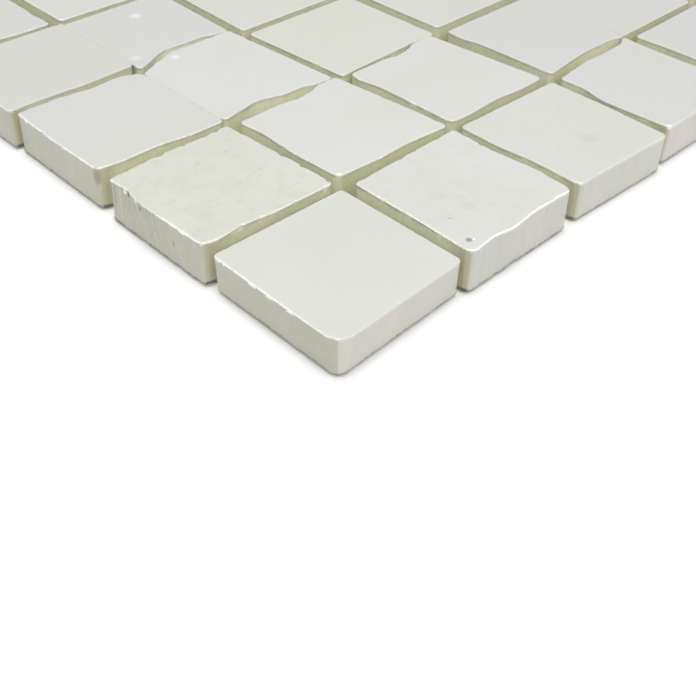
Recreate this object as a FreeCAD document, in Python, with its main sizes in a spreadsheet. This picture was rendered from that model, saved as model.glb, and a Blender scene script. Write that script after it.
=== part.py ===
import FreeCAD, Part
import os
import random
import Sketcher

# Mosaic sheet: square glazed ceramic tiles with hand-worked edges, laid in a grid with open joints
# and held together by a glass-fibre net that is glued across their backs.
# Frame: +Z up through the glazed faces, X along a row of tiles, Y from row to row.
# Origin: middle of the sheet, on the underside of the net, where the sheet is bedded.

# Driving dimensions, in millimetres where the note names no other unit
SIZES = [
    ("tiles_across", 12, "number of tiles in a row, along X"),
    ("tiles_deep", 12, "number of rows, along Y"),
    ("tile_side", 23.2, "side of a middling tile, just under its glazed edge"),
    ("joint_width", 1.8, "open joint between middling tiles"),
    ("tight_joint", 0.2, "gap where two tiles all but meet"),
    ("tile_thickness", 6.6, "thickness of a middling tile"),
    ("thickness_step", 0.5, "how much thick and thin tiles differ from a middling one"),
    ("side_step", 0.5, "how far a side that is set out stands out from a middling tile's"),
    ("corner_radius", 0.7, "radius of a tile's corners around its glazed face"),
    ("base_corner", 0.5, "radius of its corners at the back"),
    ("edge_ease", 0.4, "width of the rounded-over edge of the glazed face"),
    ("edge_drop", 0.4, "height of the rounded-over edge"),
    ("back_taper", 0.3, "how far a leaning side stands in at its back"),
    ("wave_depth", 0.7, "depth of a middling hollow in a hand-worked edge"),
    ("hand_shift", 0.2, "how far a tile strays from its place in the grid"),
    ("hand_turn", 0.6, "how far a tile is turned from square, in degrees"),
    ("net_thickness", 0.4, "thickness of the glued net"),
    ("net_margin", 1.5, "how far the net stops short of the outer tiles"),
]

# Sides of a tile from above, against the clock: front faces -Y, right +X, back +Y and left -X.
# A side is followed by the corner at its far end.
SIDES = ("front", "right", "back", "left")

# The tiles' outlines. thicker is a share of thickness_step. A side gives how far its two ends are set
# out, or in where below zero, as shares of side_step, and its hand-worked hollows: place along the
# side from 0 to 1 and depth as a multiple of wave_depth, below zero where it bulges.
# Sides that aren't given are set out by larger at both ends.
# blunt gives corners another radius, as a multiple of the usual one, by the side before them.
# lean gives how far a side leans in towards the back, or out where below zero, in shares of back_taper.
MOULDS = {
    "wide": {
        "thicker": -0.9,
        "larger": 0.4,
        "front": (0.6, 0.2, [(0.5, 0.3)]),
        "blunt": {"left": 2.4, "right": 1.8},
        "lean": {"front": 1, "right": 1, "back": 1, "left": 1},
    },
    "flat": {
        "thicker": -0.2,
        "larger": 0.0,
        "left": (0.0, 0.5, []),
        "blunt": {"front": 1.8},
    },
    "scalloped": {
        "thicker": 0.9,
        "larger": 0.1,
        "front": (0.1, 0.1, [(0.25, 0.8), (0.62, 0.5)]),
    },
    "chipped": {
        "thicker": 0.8,
        "larger": -0.2,
        "left": (-0.2, 0.2, [(0.14, 0.9), (0.37, 0.0)]),
    },
    "bowed": {
        "thicker": 0.3,
        "larger": -0.3,
        "right": (-0.6, 0.3, [(0.3, 0.5), (0.7, -0.2)]),
        "blunt": {"back": 1.7, "left": 1.7},
    },
    "slumped": {
        "thicker": 0.6,
        "larger": -0.3,
        "back": (-0.6, 0.2, [(0.5, 0.5)]),
        "blunt": {"back": 2.5},
    },
    "ragged": {
        "thicker": -0.4,
        "larger": 0.2,
        "left": (0.5, -0.3, [(0.4, 0.8)]),
        "blunt": {"right": 2.2, "front": 1.6},
    },
}


def meeting(shift):
    """A side's end that all but meets the next tile's, in shares of side_step.

    shift moves the place where they meet outwards from the joint's middle, so the next tile's
    side has it below zero.
    """
    return f"((sizes.joint_width - sizes.tight_joint) / 2 / sizes.side_step + {shift})"


# Hand-cut tiles at the near corner of the sheet, by row and column
PLACED = {
    (0, 0): {
        "thicker": -1.0,
        "front": (0.5, -1.1, []),
        "right": (2.0, 2.3, []),
        "back": (1.6, 2.1, []),
        "left": (-0.5, -0.2, [(0.5, -0.1)]),
        "blunt": {"left": 3.2},
        "lean": {"front": 1, "right": -0.3, "back": 1, "left": 1},
    },
    (0, 1): {
        "thicker": 0.9,
        "front": (0.2, 0.0, [(0.2, 0.7), (0.36, -0.4), (0.62, 0.4)]),
        "right": (-0.3, 0.4, [(0.28, -0.7), (0.65, 0.5)]),
        "back": (0.1, -0.8, []),
        "left": (-1.3, -0.4, [(0.6, 0.2)]),
        "blunt": {"left": 1.7},
        "lean": {"right": -1.5},
    },
    (0, 2): {
        "thicker": -0.2,
        "front": (-0.3, 1.3, [(0.1, 0.3)]),
        "right": (-0.1, 2.0, [(0.42, -0.3)]),
        "back": (-0.4, 0.9, []),
        "left": (-1.1, -1.2, [(0.35, -0.4), (0.62, 0.4)]),
        "blunt": {"left": 1.6},
        "lean": {"right": -1.2},
    },
    (0, 3): {
        "thicker": 0.4,
        "front": (-0.2, 0.2, []),
        "right": (-0.6, 0.0, [(0.66, 0.6)]),
        "back": (meeting(0.3), -1.4, [(0.1, 1.2), (0.36, 0.7), (0.64, -0.4)]),
        "left": (-1.4, 0.2, [(0.2, 0.5), (0.43, -1.4)]),
        "blunt": {"left": 1.4},
    },
    (0, 4): {
        "thicker": 0.2,
        "larger": 0.0,
        "left": (-0.8, -0.4, [(0.36, 0.4)]),
    },
    (1, 0): {
        "thicker": 0.9,
        "front": (-1.3, 0.4, [(0.08, -0.3), (0.26, 0.5), (0.5, -0.2)]),
        "right": (0.7, -0.8, [(0.3, -0.2)]),
        "back": (0.3, -0.6, [(0.26, 0.2), (0.5, -0.5)]),
        "left": (-0.1, 0.2, [(0.14, 0.6), (0.37, -0.5)]),
        "blunt": {"left": 1.7},
        "lean": {"back": -1.8},
    },
    (1, 1): {
        "thicker": 0.3,
        "front": (-1.6, 0.2, [(0.35, -0.2), (0.63, 0.5)]),
        "right": (1.5, -1.6, [(0.25, -0.3)]),
        "back": (meeting(0.1), 0.0, [(0.18, -0.1), (0.28, 0.7), (0.43, 1.5), (0.58, 0.4)]),
        "left": (-0.2, -0.9, [(0.21, 0.6), (0.57, -0.3)]),
        "blunt": {"left": 1.7},
    },
    (1, 2): {
        "thicker": 0.4,
        "front": (0.0, 0.7, [(0.12, -0.2), (0.5, 0.5), (0.8, -0.3)]),
        "right": (0.6, -2.8, []),
        "back": (meeting(0.0), -0.4, [(0.22, -0.3), (0.32, 0.9), (0.46, 1.6), (0.62, 0.4)]),
        "left": (0.4, -0.3, [(0.08, -0.5), (0.28, 0.6)]),
        "blunt": {"left": 1.6},
    },
    (1, 3): {
        "thicker": 0.4,
        "front": (1.2, meeting(-0.3), [(0.23, 0.9), (0.52, 1.7), (0.9, 1.3)]),
        "right": (meeting(-0.4), meeting(0.3), []),
        "back": (0.0, 0.0, []),
        "left": (-0.6, -1.9, [(0.14, -0.5), (0.31, 0.6)]),
    },
    (1, 4): {
        "thicker": -0.3,
        "larger": 0.0,
        "left": (meeting(-0.3), meeting(0.4), []),
    },
    (2, 0): {
        "thicker": 0.7,
        "front": (-2.2, 0.4, [(0.14, -0.3), (0.46, 0.4), (0.71, -0.4)]),
        "right": (meeting(-1.1), meeting(-0.7), []),
        "back": (0.0, 1.6, [(0.09, -0.6), (0.32, 0.5), (0.61, -0.4)]),
        "left": (-1.0, -0.6, [(0.5, -0.3)]),
        "blunt": {"left": 1.7, "right": 4.0},
        "lean": {"back": -2.5},
    },
    (2, 1): {
        "thicker": 0.0,
        "front": (-1.0, meeting(-0.1), [(0.31, 2.5), (0.4, 2.4), (0.56, 0.9), (0.78, 1.3), (0.86, -0.1)]),
        "right": (-2.4, -4.8, []),
        "back": (meeting(3.6), -1.4, [(0.3, -1.4), (0.62, -2.9), (0.83, -1.7)]),
        "left": (meeting(0.7), meeting(1.1), []),
        "blunt": {"left": 1.6},
    },
    (2, 2): {
        "thicker": 0.0,
        "front": (2.8, meeting(0.0), [(0.15, 0.3), (0.68, 0.5)]),
        "right": (0.0, 0.0, []),
        "back": (-1.8, -1.8, []),
        "left": (5.0, 2.8, []),
    },
    (3, 0): {
        "thicker": 0.3,
        "front": (-1.0, -1.4, [(0.18, 0.3), (0.57, -0.4)]),
        "right": (meeting(0.8), meeting(0.8), []),
        "back": (1.0, 0.4, []),
        "left": (-0.4, 0.0, []),
    },
    (3, 1): {
        "thicker": -0.3,
        "front": (1.2, meeting(-3.6), [(0.13, 1.3), (0.32, 3.8), (0.57, 2.8), (0.82, 2.3), (0.88, 0.6)]),
        "right": (-4.6, -2.8, []),
        "back": (1.2, 0.4, []),
        "left": (meeting(-0.8), meeting(-0.8), []),
    },
    (3, 2): {
        "thicker": 0.0,
        "larger": 0.0,
        "front": (2.0, 2.0, []),
        "left": (3.0, 4.8, []),
    },
}


def make_sheet(doc):
    """The spreadsheet with the driving dimensions."""
    sheet = doc.addObject("Spreadsheet::Sheet", "sizes")
    for line, (alias, value, note) in enumerate(SIZES, start=1):
        sheet.set(f"A{line}", alias)
        sheet.set(f"B{line}", str(value))
        sheet.setAlias(f"B{line}", alias)
        sheet.set(f"C{line}", note)
    doc.recompute()
    return sheet


def carried_round(x, y, quarter):
    """A point of the front side, given as two expressions, carried to another side."""
    return ((x, y), (f"-({y})", x), (f"-({x})", f"-({y})"), (y, f"-({x})"))[quarter]


def drawn_side(mould, quarter):
    """How far a side's two ends stand from the tile's middle, and its worked hollows."""
    start, end, hollows = mould.get(SIDES[quarter % 4]) or (mould["larger"], mould["larger"], [])
    reach = [f"(sizes.tile_side / 2 + {share} * sizes.side_step)" for share in (start, end)]
    return reach[0], reach[1], hollows


def outline(mould, insets, radius, waves):
    """The tile's outline at one level, as expressions for X and Y, against the clock.

    insets gives how far each side stands in from the tile's widest level, and radius is that of
    its corners before the insets. waves says whether the worked sides show there. A round corner
    is drawn as two flats between three points.
    """
    blunt = mould.get("blunt", {})
    points = []
    for quarter, side in enumerate(SIDES):
        before = f"({radius} * {blunt.get(SIDES[quarter - 1], 1)})"
        after = f"({radius} * {blunt.get(side, 1)})"
        near, far, hollows = drawn_side(mould, quarter)
        left = drawn_side(mould, quarter - 1)[1]
        right = drawn_side(mould, quarter + 1)[0]
        start = f"({before} - {left})"
        end = f"({right} - {after})"
        inset = insets[quarter]
        points.append(carried_round(start, f"({inset} - {near})", quarter))
        for place, hollow in hollows:
            x = f"({start} + {place} * ({end} - {start}))"
            line = f"({inset} - {near} - {place} * ({far} - {near}))"
            y = f"({line} + {hollow if waves else 0} * sizes.wave_depth)"
            points.append(carried_round(x, y, quarter))
        points.append(carried_round(end, f"({inset} - {far})", quarter))
        cut, next_cut = (
            f"({step} + ({after} - {step}) * (1 - sqrt(0.5)))"
            for step in (inset, insets[(quarter + 1) % 4])
        )
        points.append(carried_round(f"({right} - {next_cut})", f"({cut} - {far})", quarter))
    return points


def draw_level(body, name, points, height):
    """A closed sketch at a height over the body's base plane, with every point held by the sizes.

    It is first drawn as an even many-sided figure, which the constraints then pull into shape.
    """
    sketch = body.newObject("Sketcher::SketchObject", name)
    plane = next(part for part in body.Origin.OriginFeatures if part.Role == "XY_Plane")
    sketch.AttachmentSupport = (plane, [""])
    sketch.MapMode = "FlatFace"
    sketch.setExpression("AttachmentOffset.Base.z", height)
    count = len(points)
    front_left = FreeCAD.Vector(-1, -1, 0) * (body.Document.sizes.tile_side / 2)
    rough = []
    for k in range(count):
        turn = FreeCAD.Rotation(FreeCAD.Vector(0, 0, 1), 360 * k / count)
        rough.append(turn.multVec(front_left))
    for k in range(count):
        sketch.addGeometry(Part.LineSegment(rough[k], rough[(k + 1) % count]), False)
    start_point, end_point, origin = 1, 2, -1
    for k in range(count):
        sketch.addConstraint(
            Sketcher.Constraint("Coincident", k, end_point, (k + 1) % count, start_point)
        )
    for k, place in enumerate(points):
        for kind, drawn, size in zip(("DistanceX", "DistanceY"), rough[k], place):
            number = sketch.addConstraint(
                Sketcher.Constraint(kind, origin, start_point, k, start_point, drawn)
            )
            sketch.setExpression(f"Constraints[{number}]", size)
    return sketch


def make_mould(doc, name, mould):
    """A tile: lofted from its straight back over its worked shoulder to its glazed face."""
    body = doc.addObject("PartDesign::Body", "mould_" + name)
    thickness = f"sizes.tile_thickness + {mould['thicker']} * sizes.thickness_step"
    lean = [f"({mould.get('lean', {}).get(side, 0)} * sizes.back_taper)" for side in SIDES]
    foot = outline(mould, lean, "sizes.base_corner", False)
    widest = outline(mould, ["0"] * len(SIDES), "sizes.corner_radius", True)
    face = outline(mould, ["sizes.edge_ease"] * len(SIDES), "sizes.corner_radius", True)
    back = draw_level(body, name + "_back", foot, "0")
    shoulder = draw_level(body, name + "_shoulder", widest, thickness + " - sizes.edge_drop")
    glaze = draw_level(body, name + "_glaze", face, thickness)
    doc.recompute()
    loft = body.newObject("PartDesign::AdditiveLoft", name + "_tile")
    loft.Profile = back
    loft.Sections = [shoulder, glaze]
    loft.Ruled = True
    body.Tip = loft
    doc.recompute()
    return body


def dealt(moulds, row, column):
    """Mould, quarter turns, shifts and turn of the tile at a row and column.

    A tile without an outline of its own gets a mould by chance, but the same one each time.
    """
    if (row, column) in PLACED:
        return moulds[row, column], 0, 0, 0, 0
    dice = random.Random(f"tile {row} {column}")
    mould = moulds[dice.choice(sorted(MOULDS))]
    quarter = dice.randrange(len(SIDES))
    shift_x, shift_y, turn = (round(dice.uniform(-1, 1), 2) for _ in range(3))
    return mould, quarter, shift_x, shift_y, turn


def place_tile(doc, moulds, row, column):
    """One tile, laid face up on the net, at its column in the row."""
    mould, quarter, shift_x, shift_y, turn = dealt(moulds, row, column)
    tile = doc.addObject("App::Link", f"tile_{row + 1:02d}_{column + 1:02d}")
    tile.LinkedObject = mould
    tile.Placement = FreeCAD.Placement(
        FreeCAD.Vector(0, 0, 0), FreeCAD.Rotation(FreeCAD.Vector(0, 0, 1), 1)
    )
    pitch = "(sizes.tile_side + sizes.joint_width)"
    middle = "(sizes.tiles_across - 1) / 2"
    tile.setExpression(
        "Placement.Base.x", f"({column} - {middle}) * {pitch} + {shift_x} * sizes.hand_shift"
    )
    tile.setExpression("Placement.Base.y", f"{shift_y} * sizes.hand_shift")
    tile.setExpression("Placement.Base.z", "sizes.net_thickness")
    tile.setExpression("Placement.Rotation.Angle", f"{90 * quarter} + {turn} * sizes.hand_turn")
    return tile


def make_row(doc, moulds, row, columns):
    """A row of separate tiles."""
    name = f"tile_row_{row + 1:02d}"
    tiles = [place_tile(doc, moulds, row, column) for column in range(columns)]
    joined = doc.addObject("Part::Compound", name)
    joined.Label = name
    joined.Links = tiles
    pitch = "(sizes.tile_side + sizes.joint_width)"
    joined.setExpression("Placement.Base.y", f"({row} - (sizes.tiles_deep - 1) / 2) * {pitch}")
    return joined


def make_net(doc):
    """The net with its glue, as one plain sheet under all the tiles."""
    net = doc.addObject("Part::Box", "backing_net")
    net.Label = "backing_net"
    pitch = "(sizes.tile_side + sizes.joint_width)"
    width = f"(sizes.tiles_across * {pitch} - sizes.joint_width - 2 * sizes.net_margin)"
    depth = f"(sizes.tiles_deep * {pitch} - sizes.joint_width - 2 * sizes.net_margin)"
    net.setExpression("Length", width)
    net.setExpression("Width", depth)
    net.setExpression("Height", "sizes.net_thickness")
    net.setExpression("Placement.Base.x", f"-{width} / 2")
    net.setExpression("Placement.Base.y", f"-{depth} / 2")
    return net


def check(doc, pieces):
    """Stop if any object failed to build or a piece is empty or broken."""
    for item in doc.Objects:
        if "Invalid" in item.State or "Error" in item.State:
            raise RuntimeError(f"{item.Name} failed: {item.State}")
    for piece in pieces:
        if piece.Shape.isNull() or not piece.Shape.isValid():
            raise RuntimeError(f"{piece.Label} has no valid shape")


def main():
    doc = FreeCAD.newDocument("mosaic_tile_sheet")
    sheet = make_sheet(doc)
    moulds = {name: make_mould(doc, name, mould) for name, mould in MOULDS.items()}
    for (row, column), mould in PLACED.items():
        moulds[row, column] = make_mould(doc, f"cut_{row + 1}_{column + 1}", mould)
    pieces = [make_net(doc)]
    for row in range(int(sheet.tiles_deep)):
        pieces.append(make_row(doc, moulds, row, int(sheet.tiles_across)))
    doc.recompute()
    check(doc, pieces)
    os.makedirs("parts", exist_ok=True)
    for piece in pieces:
        piece.Shape.exportStep(f"parts/{piece.Label}.step")
        box = piece.Shape.BoundBox
        print(piece.Label, len(piece.Shape.Solids), round(piece.Shape.Volume), box)


main()
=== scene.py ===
import math
import random
from collections import namedtuple
from types import SimpleNamespace

import bpy
import numpy as np
from mathutils import Matrix, Vector


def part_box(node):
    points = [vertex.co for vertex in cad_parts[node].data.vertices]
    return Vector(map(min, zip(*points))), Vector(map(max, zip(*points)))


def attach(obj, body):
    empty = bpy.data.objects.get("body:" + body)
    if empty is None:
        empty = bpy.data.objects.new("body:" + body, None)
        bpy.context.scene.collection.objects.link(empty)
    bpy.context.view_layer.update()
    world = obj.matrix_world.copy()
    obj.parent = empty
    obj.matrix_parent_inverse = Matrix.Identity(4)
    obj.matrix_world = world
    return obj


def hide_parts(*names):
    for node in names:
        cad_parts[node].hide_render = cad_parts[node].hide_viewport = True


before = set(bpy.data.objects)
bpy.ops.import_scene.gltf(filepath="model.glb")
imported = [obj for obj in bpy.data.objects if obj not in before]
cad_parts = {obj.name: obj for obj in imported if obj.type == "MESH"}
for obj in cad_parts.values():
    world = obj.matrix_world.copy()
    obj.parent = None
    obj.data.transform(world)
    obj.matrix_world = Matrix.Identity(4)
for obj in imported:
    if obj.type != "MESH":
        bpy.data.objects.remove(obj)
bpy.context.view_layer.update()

# Sizes in metres, in the part's own frame: the first tile of the first row is nearest the camera
MM = 0.001
PITCH = 25.0 * MM
ROWS = 12
COLUMNS = 12
HALF_SHEET = COLUMNS * PITCH / 2
NET_TOP = 0.4 * MM

# How fine a tile's mesh is: steps along its sides and at its corners, heights of the rings up its
# sides as shares of the way up, and bends round its glazed edge
Detail = namedtuple("Detail", "side_step corner_step heights bends")
NEAR = Detail(0.3 * MM, 0.22 * MM, tuple(np.linspace(0.08, 0.95, 12)), 6)
FAR = Detail(1.5 * MM, 0.4 * MM, (0.2, 0.5, 0.8, 0.93), 4)
# The fine meshes are those of this many rows and columns
NEAR_TILES = 3
# Rings on the back and on the face, as shares of the way out from the middle
BACK_RINGS = (0.4, 0.85)
FACE_RINGS = (0.975, 0.93, 0.85, 0.7, 0.5, 0.27)
# The ring just above the broken back edge, counted from the middle of the back
FOOT_RING = 3

# Radius of the glazed edge, and how far the back edge is broken
EDGE_RADIUS = 0.27 * MM
BACK_BREAK = 0.1 * MM
# Kinks are smoothed over these lengths at the corners and along the sides, and from one to the
# other between these distances from a corner
CORNER_SMOOTHING = 0.13 * MM
SIDE_SMOOTHING = 0.8 * MM
CORNER_FADE = (1.5 * MM, 4.0 * MM)
# How far from a corner the steps are those of a corner
CORNER_REACH = 1.7 * MM
# Points round an outline while it is smoothed
FINE_POINTS = 960
# The outward directions are taken from points this many steps away on both sides
STEPS_BESIDE = 3
# The solids' points are rounded to this many decimals of a metre, and lie at one height within this
DECIMALS = 6
SAME_HEIGHT = 0.002 * MM
# Joints are measured from points this far apart, and up to this many millimetres
OUTLINE_STEP = 0.3 * MM
WIDEST_JOINT = 3.0
# Between these shares of an outward direction a side comes to face left or front
FACING = (0.64, 0.77)

# Shades of the glaze
SHADES = dict(pale="DDDEDA", plain="DADCD5", cool="D9DAD9", grey="D8D9D7", warm="DBDCD3", dull="D6D7D1")
# How a tile looks: its shade, how worn its edges are, how mottled its glaze is, and how strong the
# painted highlights on its rims at the left and at the front are
Look = namedtuple("Look", "shade worn mottle rim_left rim_front")
LOOKS = {
    (0, 0): Look("plain", 0.05, 0.1, 1.1, 0.0),
    (0, 1): Look("pale", 0.7, 0.45, 0.9, 1.7),
    (0, 2): Look("plain", 0.2, 0.2, 0.2, 0.15),
    (0, 3): Look("cool", 0.3, 0.15, 0.3, 0.3),
    (0, 4): Look("grey", 0.3, 0.15, 0.2, 0.3),
    (1, 0): Look("warm", 1.0, 0.85, 1.1, 0.8),
    (1, 1): Look("pale", 0.3, 0.25, 0.5, 0.55),
    (1, 2): Look("pale", 0.3, 0.15, 0.3, 0.2),
    (1, 3): Look("grey", 0.3, 0.2, 0.15, 0.15),
    (1, 4): Look("grey", 0.3, 0.15, 0.15, 0.15),
    (2, 0): Look("grey", 0.45, 0.25, 0.9, 0.7),
    (2, 1): Look("pale", 0.3, 0.15, 0.2, 0.15),
    (2, 2): Look("warm", 0.3, 0.2, 0.15, 0.15),
    (2, 3): Look("plain", 0.3, 0.15, 0.15, 0.15),
    (3, 0): Look("dull", 0.3, 0.15, 0.3, 0.15),
    (3, 1): Look("grey", 0.3, 0.15, 0.15, 0.1),
    (3, 2): Look("warm", 0.3, 0.2, 0.15, 0.1),
}
# How strong the painted highlights on the rims that face neither left nor front are
OTHER_HIGHLIGHTS = 0.3
# The sheet's corner nearest the camera, and how far from it the painted highlights on the rims grow
# to full strength
NEAR_CORNER = np.array((-149.1, -149.1)) * MM
NEAR_FADE = (2 * MM, 10 * MM)
# Sides scraped upright by a tool: the stretch of y, in millimetres
SCRAPES = {(1, 0): (-113.5, -101.5)}
# Chips by tile: middle, radius and depth, in millimetres
CHIPS = {
    (0, 1): (
        (-124.6, -149.1, 7.2, 0.9, 0.22),
        (-113.4, -149.2, 0.6, 1.2, 0.25),
        (-117.6, -149.2, 0.5, 0.9, 0.2),
    ),
    (1, 0): (
        (-148.9, -105.7, 7.0, 1.0, 0.35),
        (-149.4, -109.1, 6.9, 0.8, 0.35),
        (-149.7, -110.9, 7.0, 0.9, 0.3),
        (-149.2, -117.5, 0.5, 1.2, 0.25),
        (-149.2, -121.6, 0.5, 0.9, 0.2),
    ),
    (2, 0): (
        (-148.9, -98.4, 6.6, 2.3, 0.3),
        (-148.9, -82.7, 7.1, 0.7, 0.2),
    ),
}
# Small marks: place and radius in millimetres, how much taller than wide they are, how strong,
# their colour, and how deep they are. The dark ones with depth are pits and chips with painted shade
# in their hollows, and the white ones are painted highlights
MARKS_AND_PAINTED_LIGHT = (
    (-121.9, -146.9, 7.45, 0.7, 1, 0.75, "85857D", 1.0),
    (-121.3, -147.3, 7.45, 0.3, 1, 1.0, "FFFFFF", 0.0),
    (-120.0, -141.8, 7.45, 0.4, 1, 0.4, "A5A59C", 1.0),
    (-120.3, -142.1, 7.45, 0.25, 1, 0.8, "FAFAF8", 0.0),
    (-117.0, -137.0, 7.45, 1.6, 1, 0.16, "B4B4AC", 0.0),
    (-115.6, -141.5, 7.45, 1.3, 1, 0.14, "B4B4AC", 0.0),
    (-86.2, -141.9, 7.0, 1.9, 1, 0.24, "BDBEAF", 0.0),
    (-148.7, -105.7, 6.8, 0.5, 1.3, 0.8, "5F5E56", 0.6),
    (-149.3, -109.3, 6.4, 0.45, 1.3, 0.8, "5F5E56", 0.6),
    (-148.7, -104.9, 6.8, 0.5, 1, 0.9, "FDFDFB", 0.0),
    (-149.1, -108.1, 6.9, 0.5, 1, 0.95, "FDFDFB", 0.0),
    (-149.2, -116.6, 4.1, 0.4, 1.6, 0.55, "7E7C74", 0.4),
    (-148.5, -97.3, 5.7, 0.9, 2.4, 0.65, "8E897C", 0.5),
    (-148.4, -97.6, 4.1, 0.5, 1.4, 0.5, "D9C3B0", 0.0),
    (-148.9, -78.1, 7.1, 0.7, 1, 0.9, "FDFDFB", 0.0),
    (-123.2, -123.0, 7.0, 0.9, 1, 0.75, "FBFBF4", 0.0),
    (-73.9, -148.9, 7.1, 0.9, 1, 0.8, "FDFDFD", 0.0),
    (-98.3, -148.8, 6.9, 0.7, 1, 0.6, "FBFBF2", 0.0),
    (-99.4, -115.5, 7.0, 1.3, 1, 0.8, "FDFDFD", 0.0),
    (-112.3, -56.4, 7.0, 1.6, 1, 0.5, "FDFDFD", 0.0),
    (-122.5, -71.0, 7.0, 1.4, 1, 0.35, "FDFDFD", 0.0),
    (-117.4, -75.5, 7.0, 1.1, 1, 0.5, "FDFDFD", 0.0),
)

# Colours of the clouds and specks in the glaze
DRIFT = "D7D8CC"
CLOUD = "D0D3C1"
SMUDGE = "C2C4BA"
PALE_SPECK = "E6E7E2"
# Colours of the bare body at the sides
BODY_WARM = "D3CEC6"
BODY_COOL = "CBCCC2"
BODY_GREY = "C6C6BD"
GRAIN = "B5B3A8"
PIT = "8A887D"
SCRATCH_DARK = "7C7A70"
SCRATCH_PALE = "E4E3DA"
# Painted shadow along the foot of the sides
FOOT_PAINTED_SHADOW = "57564D"
# Painted bounce light: colours of the walls of the joints, olive-beige as light bounced between them
# makes them
JOINT_BOUNCE_WARM = "ECE9D0"
JOINT_BOUNCE_GREEN = "E8EBCA"
JOINT_LEFT_PAINTED_LIGHT = "F3F5DD"
JOINT_BOUNCE_GRAIN = "B9B694"
JOINT_BOUNCE_PALE = "FDFCEE"
JOINT_BOUNCE_BORDER = "B3AE93"
# Painted shadow at the foot of the joint walls near the sheet's border
JOINT_FOOT_PAINTED_SHADOW = "1C1B16"
# Painted highlights on the rims, white outside and cream in the joints, and the darker breaks in them
HIGHLIGHT_OUTER = "FDFDFB"
HIGHLIGHT_INNER = "FAFAEC"
HIGHLIGHT_BREAK = "8E8C7A"
# Colours of the clay backs
CLAY_DARK = "9A9484"
CLAY_PALE = "AAA595"
# Colours of the net and the glue
NET_PALE = "D9D7C6"
NET_STAINED = "C4C2A8"
NET_LINES = "B5B29C"
GLUE_PALE = "DAD8C9"
GLUE_DARK = "BFBCA6"
# Painted shade: shares of light by which the left sides and the walls of wide joints are darkened
LEFT_PAINTED_SHADE = (0.82, 0.82, 0.755, 1.0)
WIDE_JOINT_PAINTED_SHADE = (0.91, 0.91, 0.9, 1.0)


def ramp(value, low, high):
    """A soft step from 0 at low to 1 at high."""
    share = np.clip((value - low) / (high - low), 0, 1)
    return share * share * (3 - 2 * share)


def linear(code):
    """A web colour as linear red, green, blue and alpha."""
    values = [int(code[k:k + 2], 16) / 255 for k in (0, 2, 4)]
    return tuple(v / 12.92 if v <= 0.04045 else ((v + 0.055) / 1.055) ** 2.4 for v in values) + (1.0,)


def look_of(row, column):
    """How a tile looks, by chance where it has no look of its own."""
    if (row, column) in LOOKS:
        return LOOKS[row, column]
    dice = random.Random(f"character {row} {column}")
    return Look(
        shade=dice.choice(sorted(SHADES)),
        worn=dice.random(),
        mottle=dice.random() * 0.4,
        rim_left=dice.random() * 0.8,
        rim_front=dice.random() * 0.8,
    )


def smooth_piece(name, points, faces, node=None):
    """A smooth mesh that rides on the part and may stand for a solid node."""
    mesh = bpy.data.meshes.new(name)
    mesh.from_pydata(points, [], faces)
    mesh.validate()
    mesh.shade_smooth()
    piece = bpy.data.objects.new(name, mesh)
    bpy.context.scene.collection.objects.link(piece)
    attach(piece, "root")
    if node:
        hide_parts(node)
    return piece


# Noise that is the same each time
LARGEST = 0x7FFFFFFF


def lattice_value(i, j, k, seed):
    """A number from -1 to 1 that looks random, for each lattice point."""
    mixed = (i * 374761393 + j * 668265263 + k * 2147483647 + seed * 974634777) & LARGEST
    mixed = ((mixed ^ (mixed >> 13)) * 1274126177) & LARGEST
    mixed = ((mixed ^ (mixed >> 16)) * 668265263) & LARGEST
    return mixed / (LARGEST // 2) - 1


def lattice_noise(seed, x, y, z):
    """Smooth noise from -1 to 1 at the given points, one unit apart between its lattice points."""
    base = [np.floor(v).astype(np.int64) for v in (x, y, z)]
    part = [ramp(v - np.floor(v), 0, 1) for v in (x, y, z)]
    total = 0
    for i in (0, 1):
        for j in (0, 1):
            for k in (0, 1):
                weight = (
                    (part[0] if i else 1 - part[0])
                    * (part[1] if j else 1 - part[1])
                    * (part[2] if k else 1 - part[2])
                )
                total = total + weight * lattice_value(base[0] + i, base[1] + j, base[2] + k, seed)
    return total


# Closed lines, as arrays of x and y
def lengths_along(line):
    """Length along a closed line at each of its points, and at last all the way round."""
    closed = np.vstack([line, line[:1]])
    return np.concatenate([[0], np.cumsum(np.linalg.norm(np.diff(closed, axis=0), axis=1))])


def points_at(line, length, wanted):
    """Points of a closed line at the wanted lengths, where its own points lie at the given ones."""
    closed = np.vstack([line, line[:1]])
    return np.stack([np.interp(wanted, length, closed[:, k]) for k in range(2)], 1)


def smooth_closed(line, reach, step):
    """A closed line blurred along its length by a bell curve of the given reach."""
    waves = np.fft.fftfreq(len(line), step)
    damp = np.exp(-2 * (math.pi * waves * reach) ** 2)
    return np.real(np.fft.ifft(np.fft.fft(line, axis=0) * damp[:, None], axis=0))


def steps_from_corner(line):
    """How many points each point of a closed line lies from the nearest of its four corners."""
    count = len(line)
    away = np.full(count, count)
    for diagonal in ((1, 1), (-1, 1), (-1, -1), (1, -1)):
        corner = int(np.argmax(line @ np.array(diagonal)))
        apart = np.abs(np.arange(count) - corner)
        away = np.minimum(away, np.minimum(apart, count - apart))
    return away


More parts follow.
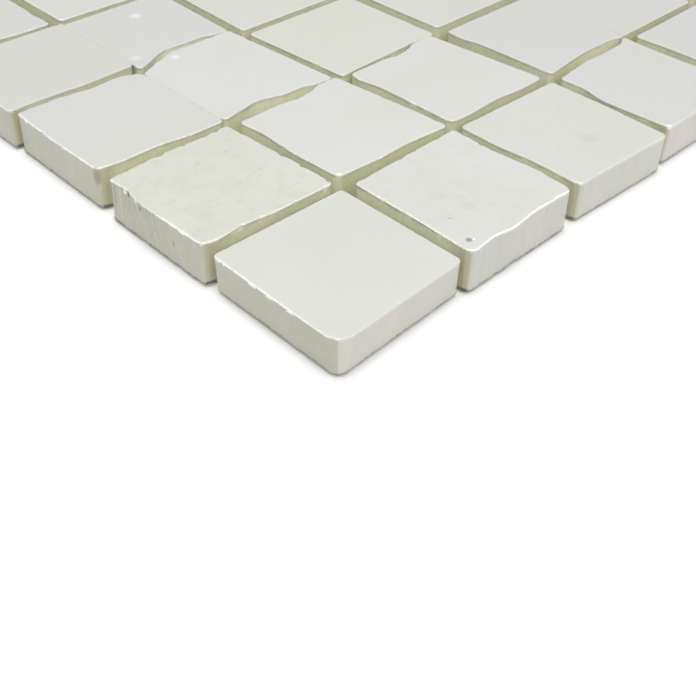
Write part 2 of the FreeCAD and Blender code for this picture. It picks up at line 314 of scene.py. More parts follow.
# Outlines read from the solid tiles
def tiles_of(node):
    """The different corner points of each separate tile of a row, from left to right."""
    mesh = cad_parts[node].data
    flat = np.empty(len(mesh.vertices) * 3, np.float32)
    mesh.vertices.foreach_get("co", flat)
    rounded = np.round(flat.reshape(-1, 3).astype(float), DECIMALS)
    points, place = np.unique(rounded, axis=0, return_inverse=True)
    pairs = np.empty(len(mesh.edges) * 2, np.int32)
    mesh.edges.foreach_get("vertices", pairs)
    first, second = place.reshape(-1)[pairs.reshape(-1, 2)].T
    group = np.arange(len(points))
    settled = False
    while not settled:
        lowest = np.minimum(group[first], group[second])
        spread = group.copy()
        np.minimum.at(spread, first, lowest)
        np.minimum.at(spread, second, lowest)
        settled = bool((spread == group).all())
        group = spread
    separate = [points[group == number] for number in np.unique(group)]
    return sorted(separate, key=lambda tile: tile[:, 0].mean())


def ring_at(points, height):
    """The points at one height, in order against the clock seen from above."""
    ring = points[np.abs(points[:, 2] - height) < SAME_HEIGHT][:, :2]
    middle = (ring.min(0) + ring.max(0)) / 2
    angle = np.arctan2(ring[:, 1] - middle[1], ring[:, 0] - middle[0])
    return ring[np.argsort(angle)]


def tile_levels(points):
    """Outlines at a tile's back and shoulder, point for point, and heights of both and of its face."""
    heights, counts = np.unique(np.round(points[:, 2], DECIMALS), return_counts=True)
    shoulder = heights[1:-1][np.argmax(counts[1:-1])]
    back = ring_at(points, heights[0])
    widest = ring_at(points, shoulder)
    turns = [np.roll(back, k, axis=0) for k in range(len(back))]
    back = min(turns, key=lambda turned: np.abs(turned - widest).sum())
    return (back, widest), (heights[0], shoulder, heights[-1])


def outline_points(points):
    """Points close together along the widest outline of a tile."""
    widest = tile_levels(points)[0][1]
    length = lengths_along(widest)
    return points_at(widest, length, np.arange(0, length[-1], OUTLINE_STEP))


tiles = {
    (row, column): points
    for row in range(ROWS)
    for column, points in enumerate(tiles_of(f"tile_row_{row + 1:02d}"))
}
outlines = {place: outline_points(points) for place, points in tiles.items()}


def gap_around(line, row, column):
    """Distance in millimetres from each point of a tile's outline to the next tile."""
    gap = np.full(len(line), WIDEST_JOINT)
    for beside in ((row - 1, column), (row + 1, column), (row, column - 1), (row, column + 1)):
        if beside in outlines:
            apart = np.linalg.norm(line[:, None] - outlines[beside][None], axis=2).min(1)
            gap = np.minimum(gap, apart / MM)
    return gap


def soft_lines(rings, detail):
    """The outlines at back and shoulder with their kinks smoothed, and the outward directions."""
    length = lengths_along(rings[1])
    step = length[-1] / FINE_POINTS
    lines = [points_at(ring, length, np.arange(FINE_POINTS) * step) for ring in rings]
    away = steps_from_corner(lines[1]) * step
    gentle = ramp(away, *CORNER_FADE)[:, None]
    softened = []
    for line in lines:
        at_corners = smooth_closed(line, CORNER_SMOOTHING, step)
        along_sides = smooth_closed(line, SIDE_SMOOTHING, step)
        softened.append(at_corners * (1 - gentle) + along_sides * gentle)

    density = 1 / np.where(away < CORNER_REACH, detail.corner_step, detail.side_step)
    reached = np.concatenate([[0], np.cumsum(density) * step])
    count = int(round(reached[-1]))
    numbers = np.arange(FINE_POINTS + 1)
    picks = np.interp(np.arange(count) * reached[-1] / count, reached, numbers)
    ahead = np.roll(softened[1], -STEPS_BESIDE, axis=0) - np.roll(softened[1], STEPS_BESIDE, axis=0)
    outward = points_at(np.stack([ahead[:, 1], -ahead[:, 0]], 1), numbers, picks)
    outward /= np.linalg.norm(outward, axis=1)[:, None]
    return [points_at(line, numbers, picks) for line in softened], outward


# One tile's surface, as rings from the middle of its back to the middle of its face
Ring = namedtuple("Ring", "points edge under")
# Each kind of unevenness has noise of its own
SALTS = dict(breaks=1, rounding=2, nicks=3, dents=4, pocks=5, rim=6, waves=7)


def tile_rings(points, row, column):
    """A tile's rings, with their shares of glazed edge and back; its middle, directions and gaps."""
    detail = NEAR if row < NEAR_TILES and column < NEAR_TILES else FAR
    rings, (z_back, z_shoulder, z_face) = tile_levels(points)
    (foot, widest), outward = soft_lines(rings, detail)
    middle = (widest.min(0) + widest.max(0)) / 2
    worn = look_of(row, column).worn
    # A seed for each tile, with room up to the next for the kinds of noise
    seed = (row * 31 + column) * 11
    found = []

    def noise(kind, size, height=0.0, tall=1.0):
        """Noise along the outline, from -1 to 1, with bumps of the given size."""
        level = np.full(len(widest), height / (size * tall))
        return lattice_noise(seed + SALTS[kind], widest[:, 0] / size, widest[:, 1] / size, level)

    def add(line, inset, z, edge=0.0, under=0.0):
        """One more ring: a line set in from its outward side, with the chips taken out."""
        place = line - outward * np.reshape(inset, (-1, 1))
        height = np.broadcast_to(z, (len(line),)).copy()
        for x, y, level, radius, depth in CHIPS.get((row, column), ()):
            away = np.sqrt(((place - (x * MM, y * MM)) ** 2).sum(1) + (height - level * MM) ** 2)
            dip = np.clip(1 - away / (radius * MM), 0, 1) ** 2 * depth * MM
            place = place - outward * dip[:, None]
            height = height - np.where(height > z_shoulder, dip, 0)
        found.append(Ring(np.column_stack([place, height]), edge, under))

    # The back and its broken edge
    broken = np.maximum(0, noise("breaks", 0.9 * MM) - 0.3) * (0.12 + 0.4 * worn) * MM
    for share in BACK_RINGS:
        add(middle + (foot - middle) * share, 0.0, z_back, under=1.0)
    add(foot, BACK_BREAK + broken, z_back, under=1.0)
    add(foot, BACK_BREAK * 0.2 + broken * 0.4, z_back + BACK_BREAK + broken * 0.9)

    # The sides, with dents about 3 mm wide and small pocks
    gap = gap_around(widest, row, column)
    radius = EDGE_RADIUS * (1 + 0.3 * noise("rounding", 2.3 * MM) * (0.3 + worn))
    radius = radius * (0.3 + 0.7 * ramp(gap, 0.35, 1.0))
    nick = np.maximum(0, noise("nicks", 0.8 * MM) - 0.3) * (0.04 + 0.6 * worn) * MM
    top = z_face - radius
    for share in detail.heights:
        z = z_back + (top - z_back) * share
        up = np.clip((z - z_back) / (z_shoulder - z_back), 0, 1)[:, None]
        height = float(np.mean(z))
        dent = (0.02 + (0.03 + 0.08 * worn) * (0.5 + 0.5 * noise("dents", 2.6 * MM, height, 3.0))) * MM
        dent = dent + (0.012 + 0.06 * worn) * MM * np.abs(noise("pocks", 0.9 * MM, height, 4.0))
        add(foot + (widest - foot) * up, dent, z)

    # The rounded glazed edge, with its nicks
    uneven = (0.01 + 0.05 * worn * np.abs(noise("rim", 1.2 * MM))) * MM
    for k in range(detail.bends + 1):
        bend = math.pi / 2 * k / detail.bends
        inset = uneven + nick * 0.6 + radius * (1 - math.cos(bend))
        z = z_face - radius * (1 - math.sin(bend)) - nick * 0.6 * math.cos(bend)
        add(widest, inset, z, math.sin(2 * bend))

    # The face, with slight waves that fade out at its rim
    rim = found[-1].points[:, :2]
    for share in FACE_RINGS:
        line = middle + (rim - middle) * share
        x, y = line.T / (5 * MM)
        wave = lattice_noise(seed + SALTS["waves"], x, y, np.zeros(len(line)))
        sag = (0.008 + 0.012 * worn) * MM * (1 + wave) * min(1, (1 - share) * 14)
        add(line, 0.0, z_face - sag)
    return found, middle, outward, gap


def ring_faces(around, count):
    """Faces over a number of rings and the two middle points before and after them."""
    faces = []
    after = (np.arange(around) + 1) % around
    last = 1 + count * around
    for k in range(around):
        faces.append((0, 1 + after[k], 1 + k))
        faces.append((last, last - around + k, last - around + after[k]))
    for number in range(count - 1):
        low = 1 + number * around
        high = low + around
        faces.extend((low + k, low + after[k], high + after[k], high + k) for k in range(around))
    return faces


def joint_share(outward, row, column):
    """How far each part of the outline faces a neighbouring tile, from 0 to 1."""
    across, deep = outward[:, 0], outward[:, 1]
    facing_x = np.where(across > 0, column < COLUMNS - 1, column > 0)
    facing_y = np.where(deep > 0, row < ROWS - 1, row > 0)
    return across ** 2 * facing_x + deep ** 2 * facing_y


def scraped_share(place, left, row, column):
    """How far each point lies in the scraped stretch of a left side, from 0 to 1."""
    if (row, column) not in SCRAPES:
        return np.zeros(len(place))
    start, end = SCRAPES[row, column]
    y = place[:, 1] / MM
    return left * ramp(y, start - 1.5, start + 1.5) * ramp(y, end + 1, end - 1)


# The layers of a tile's mesh, from 0 to 1 unless said otherwise:
# below and rise are millimetres below the face and above the back,
# edge, inner, left and under are on the rounded edge, facing a joint, facing left and on the back,
# border and gap are millimetres in from the sheet's nominal edge and to the next tile,
# rim is how strong the painted highlight on the rim is, past 1 where it is thick,
# scraped is in a scraped stretch,
# worn and mottle are those of the tile's look
Layers = namedtuple("Layers", "below rise edge inner left under border gap rim scraped worn mottle")


def tile_mesh(points, row, column):
    """Points, faces and layers of one tile."""
    look = look_of(row, column)
    rings, middle, outward, gap = tile_rings(points, row, column)
    bottom = rings[0].points[0, 2]
    top = rings[-1].points[:, 2].mean()
    place = np.vstack([[[*middle, bottom]]] + [ring.points for ring in rings] + [[[*middle, top]]])

    def by_ring(values, first):
        """A layer with one value a ring, another at the middle of the back and 0 at that of the face."""
        return np.concatenate([[first], np.repeat(values, len(outward)), [0.0]])

    def by_side(values):
        """A layer with the same values round each ring, and 0 at the two middles."""
        return np.concatenate([[0.0], np.tile(values, len(rings)), [0.0]])

    left = ramp(-outward[:, 0], *FACING)
    front = ramp(-outward[:, 1], *FACING)
    scraped = scraped_share(place, by_side(left), row, column)
    # Painted highlights on the rims, by how far each side faces left or front, weaker where the joint
    # closes and near the sheet's nearest corner
    rim = left * look.rim_left + front * look.rim_front + (1 - left) * (1 - front) * OTHER_HIGHLIGHTS
    from_corner = np.linalg.norm(rings[FOOT_RING].points[:, :2] - NEAR_CORNER, axis=1)
    rim = rim * ramp(gap, 0.4, 0.9) * (0.45 + 0.55 * ramp(from_corner, *NEAR_FADE))
    layers = Layers(
        below=(points[:, 2].max() - place[:, 2]) / MM,
        rise=(place[:, 2] - points[:, 2].min()) / MM,
        edge=by_ring([ring.edge for ring in rings], 0.0),
        inner=by_side(joint_share(outward, row, column)),
        left=by_side(left),
        under=by_ring([ring.under for ring in rings], 1.0),
        border=(HALF_SHEET - np.abs(place[:, :2]).max(1)) / MM,
        gap=by_side(gap),
        rim=by_side(rim) * (1 - 0.6 * scraped),
        scraped=scraped,
        worn=np.full(len(place), look.worn),
        mottle=np.full(len(place), look.mottle),
    )
    return place, ring_faces(len(outward), len(rings)), layers


def make_row(row):
    """All the tiles of a row as one piece, with their layers and shades of glaze."""
    places, faces, layers, glazes = [], [], [], []
    count = 0
    for column in range(COLUMNS):
        place, tile_faces, tile_layers = tile_mesh(tiles[row, column], row, column)
        places.append(place)
        faces.extend(tuple(int(i) + count for i in face) for face in tile_faces)
        layers.append(tile_layers)
        glazes.append(np.tile(linear(SHADES[look_of(row, column).shade]), (len(place), 1)))
        count += len(place)
    number = f"{row + 1:02d}"
    points = np.vstack(places).tolist()
    piece = smooth_piece(f"glazed_tiles_{number}", points, faces, f"tile_row_{number}")
    for name, parts in zip(Layers._fields, zip(*layers)):
        layer = piece.data.attributes.new(name, "FLOAT", "POINT")
        layer.data.foreach_set("value", np.concatenate(parts).astype(np.float32))
    layer = piece.data.attributes.new("glaze", "FLOAT_COLOR", "POINT")
    layer.data.foreach_set("color", np.vstack(glazes).astype(np.float32).reshape(-1))
    return piece


# Shader helpers
class Nodes:
    """Short names for building a material's nodes."""

    def __init__(self, name):
        self.material = bpy.data.materials.new(name)
        self.material.use_nodes = True
        self.tree = self.material.node_tree
        self.shader = self.tree.nodes["Principled BSDF"]

    def add(self, kind, settings=None, **inputs):
        """A node with its settings and its named inputs."""
        node = self.tree.nodes.new("ShaderNode" + kind)
        for key, value in (settings or {}).items():
            setattr(node, key, value)
        for key, value in inputs.items():
            self.feed(node.inputs[key.replace("_", " ")], value)
        return node

    def feed(self, socket, value):
        """A value or another node's output into a socket."""
        if isinstance(value, bpy.types.NodeSocket):
            self.tree.links.new(value, socket)
        else:
            socket.default_value = value

    def number(self, name):
        """The value of a mesh's layer."""
        return self.add("Attribute", dict(attribute_name=name)).outputs["Fac"]

    def math(self, operation, first, second=0.0, third=0.0, clamp=False):
        """The result of a sum, on values or other nodes' outputs."""
        node = self.add("Math", dict(operation=operation, use_clamp=clamp))
        for socket, value in zip(node.inputs, (first, second, third)):
            self.feed(socket, value)
        return node.outputs[0]

    def times(self, first, second, clamp=False):
        """Two values multiplied."""
        return self.math("MULTIPLY", first, second, clamp=clamp)

    def scaled(self, value, factor, plus):
        """A value times a factor, plus a number or another value."""
        return self.math("MULTIPLY_ADD", value, factor, plus)

    def spread(self, value, low, high, new_low=0.0, new_high=1.0):
        """A soft step from one new value at low to another at high."""
        node = self.add("MapRange", dict(interpolation_type="SMOOTHSTEP"))
        for socket, given in zip(node.inputs, (value, low, high, new_low, new_high)):
            self.feed(socket, given)
        return node.outputs[0]

    def mix(self, share, first, second, blend="MIX"):
        """Two colours mixed, each a web colour, a tuple or another node's output."""
        node = self.add("Mix", dict(data_type="RGBA", blend_type=blend))
        self.feed(node.inputs[0], share)
        for socket, color in ((node.inputs[6], first), (node.inputs[7], second)):
            self.feed(socket, linear(color) if isinstance(color, str) else color)
        return node.outputs[2]

    def between(self, share, first, second):
        """A number between two others."""
        node = self.add("Mix", dict(data_type="FLOAT"))
        self.feed(node.inputs[0], share)
        self.feed(node.inputs[2], first)
        self.feed(node.inputs[3], second)
        return node.outputs[0]

    def noise(self, place, scale, detail=2.0, rough=0.5):
        """Noise from 0 to 1, with the given number of bumps a metre."""
        node = self.add("TexNoise", Vector=place, Scale=scale, Detail=detail, Roughness=rough)
        return node.outputs["Fac"]

    def stretched(self, place, factors):
        """A place with its axes scaled, so that noise there is drawn out."""
        node = self.add("VectorMath", dict(operation="MULTIPLY"))
        self.feed(node.inputs[0], place)
        self.feed(node.inputs[1], factors)
        return node.outputs[0]

    def finish(self, color, rough, height, strength, depth):
        """The material, with its colour, its roughness and a bump of the given depth in metres."""
        bump = self.add("Bump", Strength=strength, Distance=depth, Height=height)
        self.feed(self.shader.inputs["Base Color"], color)
        self.feed(self.shader.inputs["Roughness"], rough)
        self.feed(self.shader.inputs["Normal"], bump.outputs[0])
        return self.material


# The glaze and the body. Here n makes the nodes, and at holds the mesh's layers and the noises that
# several functions use. Bounds of below, rise, border and gap are millimetres, a noise's scale is
# bumps a metre, and the other numbers are shares.
def face_color(n, at):
    """The glaze on the face, with slight clouds and specks."""
    glaze = n.add("Attribute", dict(attribute_name="glaze")).outputs["Color"]
    drift = n.noise(at.place, 60.0, 1.0)
    smudge = n.noise(at.place, 520.0, 4.0, 0.65)
    color = n.mix(n.times(n.spread(drift, 0.35, 0.7), 0.4), glaze, DRIFT)
    clouds = n.times(n.spread(at.cloud, 0.44, 0.68), n.times(at.mottle, 0.42), clamp=True)
    color = n.mix(clouds, color, CLOUD)
    smudges = n.times(n.spread(smudge, 0.52, 0.74), n.times(at.mottle, 0.45))
    color = n.mix(smudges, color, SMUDGE)
    specks = n.times(n.spread(at.speck, 0.6, 0.72), n.times(at.mottle, 0.45))
    return n.mix(specks, color, PALE_SPECK)


def bare_color(n, at):
    """The bare body, with warm and cool blotches, grain, pits and upright scratches."""
    tint = n.noise(at.upright, 90.0, 1.0)
    fine = n.noise(n.stretched(at.place, (1.0, 1.0, 0.15)), 900.0, 3.0, 0.6)
    color = n.mix(n.spread(at.blotch, 0.36, 0.64), BODY_WARM, BODY_COOL)
    color = n.mix(n.times(n.spread(tint, 0.42, 0.68), 0.5), color, BODY_GREY)
    color = n.mix(n.times(n.spread(fine, 0.45, 0.75), n.scaled(at.worn, 0.3, 0.1)), color, GRAIN)
    color = n.mix(n.times(n.spread(at.speck, 0.62, 0.72), n.times(at.worn, 0.3)), color, PIT)
    # Painted shade: the sides that face left are darker
    color = n.mix(at.left, color, LEFT_PAINTED_SHADE, "MULTIPLY")
    dark = n.times(at.scraped, n.spread(at.streak, 0.52, 0.64))
    dark = n.times(dark, n.spread(at.below, 5.0, 1.2, 0.05, 0.55))
    color = n.mix(dark, color, SCRATCH_DARK)
    pale = n.times(at.scraped, n.spread(at.streak, 0.47, 0.36))
    return n.mix(n.times(pale, 0.3), color, SCRATCH_PALE)


def joint_bounce_color(n, at):
    """The walls of the joints, yellow-green with painted bounce light, browner at the sheet's border."""
    grain = n.noise(at.place, 1900.0, 3.0, 0.7)
    color = n.mix(n.spread(at.blotch, 0.35, 0.65), JOINT_BOUNCE_WARM, JOINT_BOUNCE_GREEN)
    # Painted light: the joint walls that face left are lighter
    color = n.mix(n.times(at.left, 0.7), color, JOINT_LEFT_PAINTED_LIGHT)
    color = n.mix(n.times(n.spread(grain, 0.5, 0.68), 0.25), color, JOINT_BOUNCE_GRAIN)
    color = n.mix(n.times(n.spread(grain, 0.46, 0.34), 0.25), color, JOINT_BOUNCE_PALE)
    # Painted shade on the walls of wide joints
    color = n.mix(n.spread(at.gap, 2.6, WIDEST_JOINT), color, WIDE_JOINT_PAINTED_SHADE, "MULTIPLY")
    return n.mix(n.spread(at.border, 6.0, 0.5), color, JOINT_BOUNCE_BORDER)


def side_color(n, at):
    """The sides: bare body outside, painted bounce light in the joints, and a painted shadow along the
    foot with a ragged top.
    """
    wavy = n.math("ADD", at.below, n.times(n.noise(at.place, 700.0, 2.0), 0.7))
    # Painted bounce light on the walls that face a joint, from a wavy line just below the face downwards
    stained = n.times(at.inner, n.spread(wavy, 0.5, 1.1))
    color = n.mix(stained, bare_color(n, at), joint_bounce_color(n, at))
    # Painted shadow along the foot, stronger on worn tiles, with a ragged top
    ragged = n.times(n.noise(at.place, 1100.0, 3.0, 0.6), 0.9)
    foot = n.spread(n.math("ADD", at.rise, ragged), 0.85, 0.5)
    color = n.mix(n.times(foot, n.scaled(at.worn, 0.4, 0.6)), color, FOOT_PAINTED_SHADOW)
    # Painted shadow, near black, low on the joint walls near the sheet's border
    deep = n.times(n.spread(at.rise, 0.7, 0.3), n.spread(at.border, 4.0, 1.0))
    return n.mix(n.times(deep, at.inner), color, JOINT_FOOT_PAINTED_SHADOW)


def add_painted_highlights(n, at, color):
    """The colour with painted highlights along the rims, and darker breaks in them."""
    flakes = n.noise(at.place, 2000.0, 3.0, 0.65)
    cover = n.scaled(at.rim, 0.22, flakes)
    painted_highlight = n.times(n.spread(cover, 0.57, 0.74), n.scaled(at.rim, 0.4, 0.6))
    edge = n.math("POWER", at.edge, 1.8)
    painted_highlight = n.times(n.math("MAXIMUM", painted_highlight, n.times(at.rim, 0.5)), edge, clamp=True)

    # Painted glints just below the rims whose painted highlight is white but not thick
    chipped = n.math("SUBTRACT", n.spread(at.rim, 0.8, 1.0), n.spread(at.rim, 1.2, 1.5))
    band = n.times(n.spread(at.below, 0.7, 0.35), n.spread(at.below, 0.1, 0.2))
    chips = n.times(n.spread(n.noise(at.place, 650.0, 2.0), 0.55, 0.62), band)
    painted_highlight = n.math("MAXIMUM", painted_highlight, n.times(chips, n.times(chipped, 0.85)))

    breaks = n.times(n.spread(flakes, 0.46, 0.38), n.times(edge, at.rim), clamp=True)
    color = n.mix(n.times(breaks, 0.32), color, HIGHLIGHT_BREAK)
    return n.mix(painted_highlight, color, n.mix(at.inner, HIGHLIGHT_OUTER, HIGHLIGHT_INNER))


def add_marks_and_painted_light(n, place, color):
    """The colour with the small marks on it, painted shade and painted highlights among them, and how
    deep they are.
    """
    depth = 0.0
    for x, y, z, radius, tall, strength, code, deep in MARKS_AND_PAINTED_LIGHT:
        away = n.add("VectorMath", dict(operation="SUBTRACT"))
        n.feed(away.inputs[0], place)
        n.feed(away.inputs[1], (x * MM, y * MM, z * MM))
        apart = n.add("VectorMath", dict(operation="LENGTH"))
        n.feed(apart.inputs[0], n.stretched(away.outputs[0], (1.0, 1.0, 1.0 / tall)))
        near = n.spread(apart.outputs["Value"], radius * MM, radius * 0.3 * MM)
        color = n.mix(n.times(near, strength), color, code)
        if deep:
            depth = n.scaled(near, deep, depth)
    return color, depth


def glaze_material():
    """Glossy off-white glaze on the face, over the duller cream-grey body at the sides."""
    n = Nodes("glazed_ceramic")
    at = SimpleNamespace(**{name: n.number(name) for name in Layers._fields})
    at.place = n.add("TexCoord").outputs["Object"]
    at.cloud = n.noise(at.place, 300.0, 6.0, 0.65)
    at.speck = n.noise(at.place, 1100.0, 2.0, 0.6)
    at.upright = n.stretched(at.place, (1.0, 1.0, 0.12))
    at.blotch = n.noise(at.upright, 150.0, 1.5, 0.45)
    at.streak = n.noise(n.stretched(at.place, (0.0, 1.0, 0.03)), 2800.0, 3.0, 0.7)

    # The body shows from just below the rim, later on the outer sides that don't face left, and not
    # at all where two tiles all but meet
    glazed = n.times(n.math("SUBTRACT", 1.0, at.inner), n.math("SUBTRACT", 1.0, at.left), clamp=True)
    side = n.spread(at.below, 0.1, n.scaled(glazed, 0.5, 0.3))
    side = n.times(side, n.spread(at.gap, 0.3, 0.8))
    color = n.mix(side, face_color(n, at), side_color(n, at))
    color = add_painted_highlights(n, at, color)
    clay = n.mix(n.spread(at.cloud, 0.35, 0.65), CLAY_DARK, CLAY_PALE)
    color = n.mix(at.under, color, clay)
    color, depth = add_marks_and_painted_light(n, at.place, color)

    rough = n.between(side, n.scaled(at.cloud, 0.12, 0.07), n.scaled(at.speck, 0.15, 0.34))
    ripple = n.times(n.noise(at.place, 620.0, 4.0, 0.6), n.scaled(at.mottle, 0.8, 0.2))
    scratches = n.scaled(n.times(at.streak, at.scraped), 3.0, at.speck)
    relief = n.between(side, ripple, scratches)
    height = n.math("SUBTRACT", relief, n.times(depth, 2.0))
    return n.finish(color, rough, height, 0.4, 0.08 * MM)


# The net: flat woven strands, with dried glue between it and the tiles
STRAND_PITCH = 5.0 * MM
STRAND_WIDTH = 0.9 * MM
STRAND_THICKNESS = 0.16 * MM
# How far the strands stay from the floor and from the tiles
STRAND_CLEARANCE = 0.01 * MM
# A strand's section: places across in half widths, and up in thicknesses
STRAND_SECTION = ((-1, 0.5), (-0.55, 0.0), (0.55, 0.0), (1, 0.5), (0.55, 1.0), (-0.55, 1.0))
# How quickly a strand sways and changes its width, in radians a metre
SWAY_RATE = 23
WIDTH_RATE = 310


def add_strand(points, faces, start, along, across, length, offset, phase):
    """One flat strand that goes over and under the others."""
    steps = 2 * int(round(length / STRAND_PITCH))
    sides = len(STRAND_SECTION)
    first = len(points)
    room = NET_TOP - STRAND_THICKNESS - 2 * STRAND_CLEARANCE
    for k in range(steps + 1):
        way = length * k / steps
        lift = 0.5 - 0.5 * math.cos(math.pi * (way / STRAND_PITCH + phase))
        low = STRAND_CLEARANCE + lift * room
        sway = offset * math.sin(way * SWAY_RATE + phase * 2.1)
        half_width = STRAND_WIDTH * (0.5 + 0.06 * math.sin(way * WIDTH_RATE + phase * 1.7))
        middle = start + along * way + across * sway
        for side, height in STRAND_SECTION:
            spot = middle + across * (side * half_width)
            points.append((spot.x, spot.y, low + height * STRAND_THICKNESS))
    for k in range(steps):
        for j in range(sides):
            a = first + k * sides + j
            b = first + k * sides + (j + 1) % sides
            faces.append((a, b, b + sides, a + sides))
    faces.append(tuple(first + j for j in reversed(range(sides))))
    faces.append(tuple(first + steps * sides + j for j in range(sides)))


def make_net():
    """Woven strands both ways, in the place of the solid backing."""
    low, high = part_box("backing_net")
    ways = (Vector((1, 0, 0)), Vector((0, 1, 0)))
    points, faces = [], []
    dice = random.Random("net")
    for direction in (0, 1):
        along = ways[direction]
        across = ways[1 - direction]
        length = (high - low)[direction]
        width = (high - low)[1 - direction]
        count = int(width / STRAND_PITCH)
        margin = (width - (count - 1) * STRAND_PITCH) / 2
        for k in range(count):
            start = Vector((low.x, low.y, 0)) + across * (margin + k * STRAND_PITCH)
            offset = dice.uniform(-0.2, 0.2) * MM
            add_strand(points, faces, start, along, across, length, offset, (k + direction) % 2)
    return smooth_piece("glass_fibre_net", points, faces, "backing_net")


def net_material():
    """Off-white glass fibre with fine lines along the strands, stained in places by the glue."""
    n = Nodes("net_fibre")
    place = n.add("TexCoord").outputs["Object"]
    lines = n.noise(n.stretched(place, (1.0, 1.0, 3.0)), 1800.0, 3.0, 0.6)
    stain = n.noise(place, 90.0, 2.0)
    color = n.mix(n.spread(stain, 0.35, 0.7), NET_PALE, NET_STAINED)
    color = n.mix(n.times(lines, 0.4), color, NET_LINES)
    return n.finish(color, n.scaled(lines, 0.2, 0.5), lines, 0.5, 0.05 * MM)


# A pad of glue, in millimetres: points round it, its mean radius, the size and number of the lobes of
# its outline, and its profile as shares of the radius with heights
GLUE_AROUND = 28
GLUE_RADIUS = 8.4
GLUE_LOBES = ((0.9, 2), (0.6, 3), (0.35, 7), (0.2, 11))
GLUE_PROFILE = ((0.9, 0.29), (1.0, 0.34), (0.97, 0.395))
GLUE_BOTTOM = 0.30
GLUE_TOP = 0.395
# About a full turn, for the lobes' places by chance
ALL_ROUND = 6.28


def add_glue(points, faces, x, y, dice):
    """One thin pad of glue with a wavy outline."""
    phases = [dice.uniform(0, ALL_ROUND) for _ in GLUE_LOBES]
    first = len(points)
    points.append((x, y, GLUE_BOTTOM * MM))
    for share, z in GLUE_PROFILE:
        for k in range(GLUE_AROUND):
            angle = 2 * math.pi * k / GLUE_AROUND
            radius = GLUE_RADIUS
            for (size, number), phase in zip(GLUE_LOBES, phases):
                radius += size * math.sin(number * angle + phase)
            radius *= share * MM
            points.append((x + math.cos(angle) * radius, y + math.sin(angle) * radius, z * MM))
    points.append((x, y, GLUE_TOP * MM))
    pad = ring_faces(GLUE_AROUND, len(GLUE_PROFILE))
    faces.extend(tuple(int(i) + first for i in face) for face in pad)


def make_glue():
    """Thin dried smears of glue on the tile backs, between them and the net."""
    points, faces = [], []
    for row in range(ROWS):
        for column in range(COLUMNS):
            x = (column - (COLUMNS - 1) / 2) * PITCH
            y = (row - (ROWS - 1) / 2) * PITCH
            add_glue(points, faces, x, y, random.Random(f"glue {row} {column}"))
    return smooth_piece("dried_glue", points, faces)


def glue_material():
    """Cloudy cream glue."""
    n = Nodes("dried_glue")
    place = n.add("TexCoord").outputs["Object"]
    cloud = n.noise(place, 220.0, 3.0, 0.6)
    color = n.mix(cloud, GLUE_PALE, GLUE_DARK)
    return n.finish(color, n.scaled(cloud, 0.3, 0.3), cloud, 0.6, 0.1 * MM)


glaze = glaze_material()
for row in range(ROWS):
    make_row(row).data.materials.append(glaze)
make_net().data.materials.append(net_material())
make_glue().data.materials.append(glue_material())


# Plain pale floor
FLOOR_REACH = 1.5
FLOOR_LEVEL = -0.02 * MM


def make_floor():
    """A square floor, just below the net so that the two don't share a plane."""
    corners = ((-1, -1), (1, -1), (1, 1), (-1, 1))
    mesh = bpy.data.meshes.new("floor")
    points = [(x * FLOOR_REACH, y * FLOOR_REACH, FLOOR_LEVEL) for x, y in corners]
    mesh.from_pydata(points, [], [(0, 1, 2, 3)])
    floor = bpy.data.objects.new("floor", mesh)
    bpy.context.scene.collection.objects.link(floor)
    n = Nodes("floor")
    n.feed(n.shader.inputs["Base Color"], (0.95, 0.95, 0.95, 1))
    n.feed(n.shader.inputs["Roughness"], 0.9)
    n.feed(n.shader.inputs["Specular IOR Level"], 0.0)
    mesh.materials.append(n.material)


make_floor()

# Soft studio light: lamps by power in watts, size and place in metres, all turned to the near tiles
LAMPS = dict(
    overhead=(6.6, (0.5, 0.5), (-0.1, -0.1, 1.2)),
    front_soft=(7.7, (1.0, 1.0), (-0.526, -0.89, 0.949)),
    left_strip=(0.6, (0.16, 0.4), (-0.63, 0.25, 0.42)),
    right_strip=(0.15, (0.1, 0.35), (0.28, -0.66, 0.42)),
)
LIT_PLACE = (-0.11, -0.11, 0)
SKY_STRENGTH = 0.32


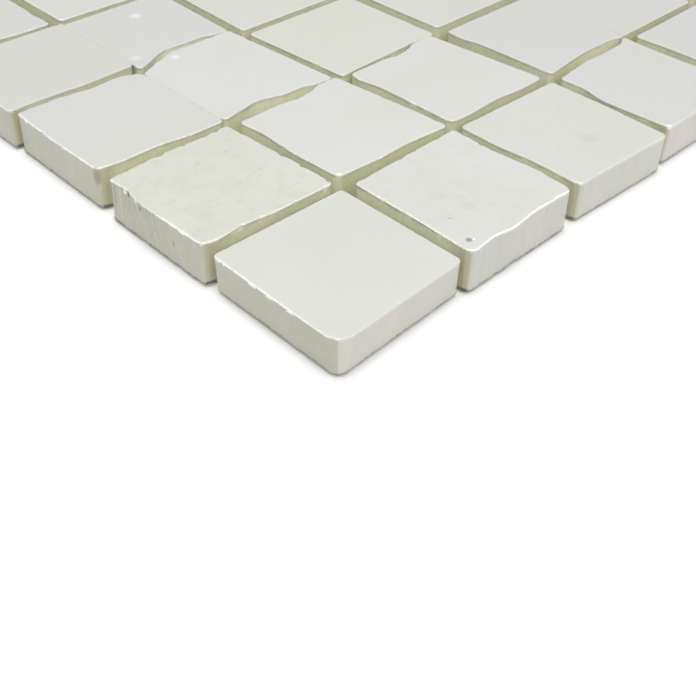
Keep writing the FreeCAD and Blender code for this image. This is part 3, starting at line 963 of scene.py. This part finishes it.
def area_light(name, power, size, place):
    """A rectangular lamp that faces the near tiles."""
    data = bpy.data.lights.new(name, "AREA")
    data.shape = "RECTANGLE"
    data.size, data.size_y = size
    data.energy = power
    lamp = bpy.data.objects.new(name, data)
    lamp.location = place
    lamp.rotation_euler = (Vector(LIT_PLACE) - Vector(place)).to_track_quat("-Z", "Y").to_euler()
    bpy.context.scene.collection.objects.link(lamp)


def light_scene():
    """An even white sky and the lamps."""
    world = bpy.data.worlds.new("studio")
    bpy.context.scene.world = world
    world.use_nodes = True
    sky = world.node_tree.nodes["Background"]
    sky.inputs["Color"].default_value = (1, 1, 1, 1)
    sky.inputs["Strength"].default_value = SKY_STRENGTH
    for name, (power, size, place) in LAMPS.items():
        area_light(name, power, size, place)


light_scene()

# Camera fitted to the photograph: its place in metres, how far it looks down, where it heads from +X
# to +Y and how far it rolls, in degrees, and its lens on a sensor 36 mm wide
CAMERA_PLACE = (-210.756 * MM, -211.170 * MM, 85.143 * MM)
CAMERA_DOWN = 42.1525
CAMERA_HEADING = 45 - 0.7360
CAMERA_ROLL = 1.6668
CAMERA_LENS = 50.452


def make_camera():
    """The camera at the photograph's angle."""
    down, heading, roll = (math.radians(angle) for angle in (CAMERA_DOWN, CAMERA_HEADING, CAMERA_ROLL))
    level = math.cos(down)
    ahead = Vector((math.cos(heading) * level, math.sin(heading) * level, -math.sin(down)))
    right = Vector((math.sin(heading), -math.cos(heading), 0))
    up = right.cross(ahead)
    right, up = right * math.cos(roll) + up * math.sin(roll), up * math.cos(roll) - right * math.sin(roll)
    data = bpy.data.cameras.new("camera")
    data.sensor_width = 36
    data.lens = CAMERA_LENS
    data.clip_start = 0.002
    camera = bpy.data.objects.new("camera", data)
    turn = Matrix((right, up, -ahead)).transposed().to_4x4()
    camera.matrix_world = Matrix.Translation(Vector(CAMERA_PLACE)) @ turn
    bpy.context.scene.collection.objects.link(camera)
    bpy.context.scene.camera = camera


make_camera()
bpy.context.scene.view_settings.view_transform = "Standard"
